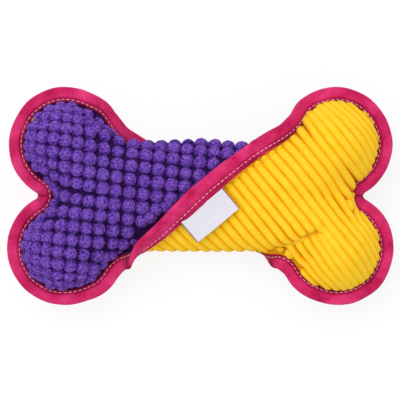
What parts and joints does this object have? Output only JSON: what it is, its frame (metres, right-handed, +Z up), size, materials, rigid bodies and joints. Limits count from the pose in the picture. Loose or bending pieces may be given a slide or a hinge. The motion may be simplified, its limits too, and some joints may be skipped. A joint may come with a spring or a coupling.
{
  "type": "squeaky dog toy",
  "caption": "Stuffed bone-shaped squeaky dog toy, twisted at the waist, with bobbled plush and ribbed cord covers bound by stitched tape, a label tab, fibre filling and an inner squeaker.",
  "frame": {"origin": "centre of the bounding box, on the surface that the toy lies on", "axes": "+X along the bone towards the end that shows the yellow side up, +Y across it, +Z up"},
  "size_m": [0.289, 0.162, 0.0613],
  "materials": {
    "purple_plush": "bobbled plush",
    "yellow_cord": "ribbed cord pile",
    "pink_tape": "twill tape",
    "thread": "polyester thread",
    "label_cloth": "woven satin",
    "fibre": "loose polyester fibre",
    "soft_plastic": "soft blown polyethylene",
    "reed_plastic": "moulded",
    "reed_film": "thin film"
  },
  "bodies": {
    "cover": {"purple_panel": "purple_plush", "yellow_panel": "yellow_cord", "edge_binding": "pink_tape", "needle_thread": "thread", "bobbin_thread": "thread", "left_stuffing": "fibre", "right_stuffing": "fibre", "squeaker_base": "soft_plastic", "squeaker_wall": "soft_plastic", "reed_sleeve": "reed_plastic", "reed_tongue": "reed_plastic", "reed_wedge": "reed_plastic"},
    "bladder_top": {"squeaker_top": "soft_plastic"},
    "reed": {"reed": "reed_film"},
    "label": {"label": "label_cloth"}
  },
  "joints": [
    {"name": "squeeze", "type": "slide", "parent": "cover", "child": "bladder_top", "axis": [0, 0, -1], "range_m": [0, 0.009], "stiffness_N_per_m": 1200, "deforming": ["squeaker_wall"]},
    {"name": "reed_flex", "type": "hinge", "parent": "cover", "child": "reed", "pos_m": [0, 0, 0.0205], "axis": [0, 1, 0], "range_deg": [-5, 5], "stiffness_Nm_per_rad": 0.001},
    {"name": "label_flap", "type": "hinge", "parent": "cover", "child": "label", "pos_m": [0.00126, -0.00757, 0.05471], "axis": [-0.7695, -0.6361, -0.0569], "range_deg": [0, 110]}
  ]
}
